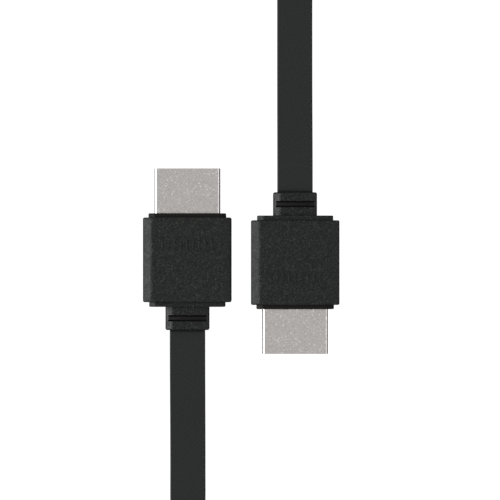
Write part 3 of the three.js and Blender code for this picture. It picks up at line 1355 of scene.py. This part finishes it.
@dataclass
class ContactBlade:
    """Spring contact on a wall of the slot: it leaves the wall, crowns and bends back.

    Sizes are in millimetres, in the plug's own frame.
    """

    width: float = 0.42
    thickness: float = 0.14
    length: float = 5.8
    front_y: float = -1.0
    pitch: float = 1.0
    slot_z: float = 5.1
    slot_height: float = 1.9
    crown: tuple[float, ...] = (0.06, 0.13, 0.16, 0.14, 0.09, 0.04)
    divisions: int = 12
    smooth_angle: float = 40.0

    def build(self, row: Row, gold: Material) -> Object:
        """Build the model of one row's contact, in the middle of the plug.

        Args:
            row: The row that it belongs to.
            gold: The contact's material.

        Returns:
            The model, in millimetres.
        """
        side = row.value[2]
        wall = self.slot_z + side * self.slot_height / 2
        blade = add_block(
            f"blade_model_{row.name.lower()}",
            (self.width, self.length, self.thickness),
            (0.0, self.front_y - self.length / 2, wall - side * self.thickness / 2),
        )
        bpy.ops.object.mode_set(mode="EDIT")
        select(blade, Part.EDGES, runs_along_y)
        bpy.ops.mesh.subdivide(number_cuts=self.divisions - 1)
        step = self.length / self.divisions
        for i, drop in enumerate(self.crown):
            place = self.front_y - i * step
            select(blade, Part.POINTS, lambda point, place=place: abs(point.y - place) < CLOSE)
            bpy.ops.transform.translate(value=(0.0, 0.0, -side * drop))
        bpy.ops.object.mode_set(mode="OBJECT")
        smooth(blade, self.smooth_angle)
        blade.data.materials.append(gold)
        return blade

    def place_row(self, plug: Plug, row: Row, model: Object) -> None:
        """Copy a row's contact to each of its places in a plug.

        Args:
            plug: The plug.
            row: The row.
            model: That row's contact.
        """
        count, first, _ = row.value
        for i in range(count):
            number = f"{first + 2 * i:02d}"
            aside = (i - (count - 1) / 2) * self.pitch
            blade = plug.settle(model, f"{plug.prefix}_blade_{number}", aside)
            mount(blade, "contact_gold", f"{plug.prefix}_contact_{number}")


def build_plugs(nodes: dict[str, Object]) -> None:
    """Model a plug's pieces once, and set a copy of each in both plugs.

    Args:
        nodes: The CAD nodes by name.
    """
    shell = PlugShell()
    finishes = (GrainedMoulding(), COLLAR_PAINTED_SHADE_MOULDING, GROOVE_PAINTED_SHADE_MOULDING, RELIEF_MOULDING)
    moulding_model = PlugMoulding().build(shell, tuple(finish.make() for finish in finishes))
    shell_model = shell.build(PlatedSheet().make())
    blade = ContactBlade()
    gold = GoldPlate().make()
    blade_models = {row: blade.build(row, gold) for row in Row}
    nylon = GlassFilledNylon().make()
    for plug in Plug:
        moulding = plug.settle(moulding_model, f"{plug.prefix}_moulding")
        mount(moulding, "moulding", f"{plug.prefix}_body")
        metal = plug.settle(shell_model, f"{plug.prefix}_sheet_shell")
        mount(metal, "plug_metal", f"{plug.prefix}_shell")
        for row, model in blade_models.items():
            blade.place_row(plug, row, model)
        insulator = nodes[f"{plug.prefix}_insulator"]
        insulator.material_slots[0].material = nylon
        log.info("%s keeps its shape and is nylon", insulator.name)
    for model in (moulding_model, shell_model, *blade_models.values()):
        bpy.data.objects.remove(model)


# The studio


@dataclass
class Studio:
    """Camera, lights and floor. The camera looks straight down, as in a catalogue picture."""

    view_centre: tuple[float, float] = (0.00186, 0.00237)
    view_width: float = 0.1063
    plug_axis_height: float = 0.0049
    lens: float = 200.0
    sensor: float = 36.0
    floor_size: float = 3.0
    surround: float = 0.61
    softboxes: tuple[tuple, ...] = (
        ("key_left", (-0.95, 0.05, 0.46), (0.8, 0.6), 6.5),
        ("fill_right", (0.9, 0.0, 0.56), (1.8, 0.5), 0.75),
    )

    def place_camera(self) -> None:
        """Put the camera above the plugs, so that the view is as wide as the picture."""
        data = bpy.data.cameras.new("camera")
        data.lens = self.lens
        data.sensor_width = self.sensor
        data.clip_start = 0.01
        data.clip_end = 10.0
        camera = bpy.data.objects.new("camera", data)
        above = self.view_width * self.lens / self.sensor
        camera.location = (*self.view_centre, self.plug_axis_height + above)
        bpy.context.scene.collection.objects.link(camera)
        bpy.context.scene.camera = camera

    def lay_floor(self) -> None:
        """Lay the white top of the light table under the lead."""
        bpy.ops.object.select_all(action="DESELECT")
        bpy.ops.mesh.primitive_plane_add(size=self.floor_size)
        floor = bpy.context.active_object
        floor.name = "table_top"
        floor.data.materials.append(LightTable().make())

    def add_softbox(
        self,
        name: str,
        place: tuple[float, float, float],
        size: tuple[float, float],
        radiance: float,
    ) -> None:
        """Hang a rectangular light that faces the plugs.

        Args:
            name: The light's name.
            place: Its middle, in metres.
            size: Its width and height, in metres.
            radiance: How bright it looks.
        """
        data = bpy.data.lights.new(name, "AREA")
        data.shape = "RECTANGLE"
        data.size, data.size_y = size
        data.energy = radiance * math.pi * size[0] * size[1]
        light = bpy.data.objects.new(name, data)
        light.location = place
        light.rotation_mode = "QUATERNION"
        light.rotation_quaternion = (-Vector(place)).to_track_quat("-Z", "Y")
        bpy.context.scene.collection.objects.link(light)

    def light(self) -> None:
        """Light evenly from all round, with the strongest light on the left."""
        for softbox in self.softboxes:
            self.add_softbox(*softbox)
        world = bpy.data.worlds.new("studio")
        world.use_nodes = True
        grey = (*[self.surround] * 3, 1.0)
        world.node_tree.nodes["Background"].inputs["Color"].default_value = grey
        scene = bpy.context.scene
        scene.world = world
        scene.view_settings.view_transform = "Standard"

    def build(self) -> None:
        """Set up the whole studio."""
        self.place_camera()
        self.lay_floor()
        self.light()
        log.info("the studio is set up")


def main() -> None:
    """Dress the lead piece by piece and report each one."""
    logging.basicConfig(level=logging.INFO, format="%(message)s")
    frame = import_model()
    Studio().build()
    build_plugs(frame["nodes"])

    strap = CoilStrap().build(LoopTape().make())
    mount(strap, "strap_fabric", "coil_strap")
    lead_cord = FlatCord()
    cord, line = lead_cord.build(ExtrudedJacket().make())
    mount(cord, "cord_jacket", "cord_from_plug_a", "cord_coil", "cord_to_plug_b")


if __name__ == "__main__":
    main()
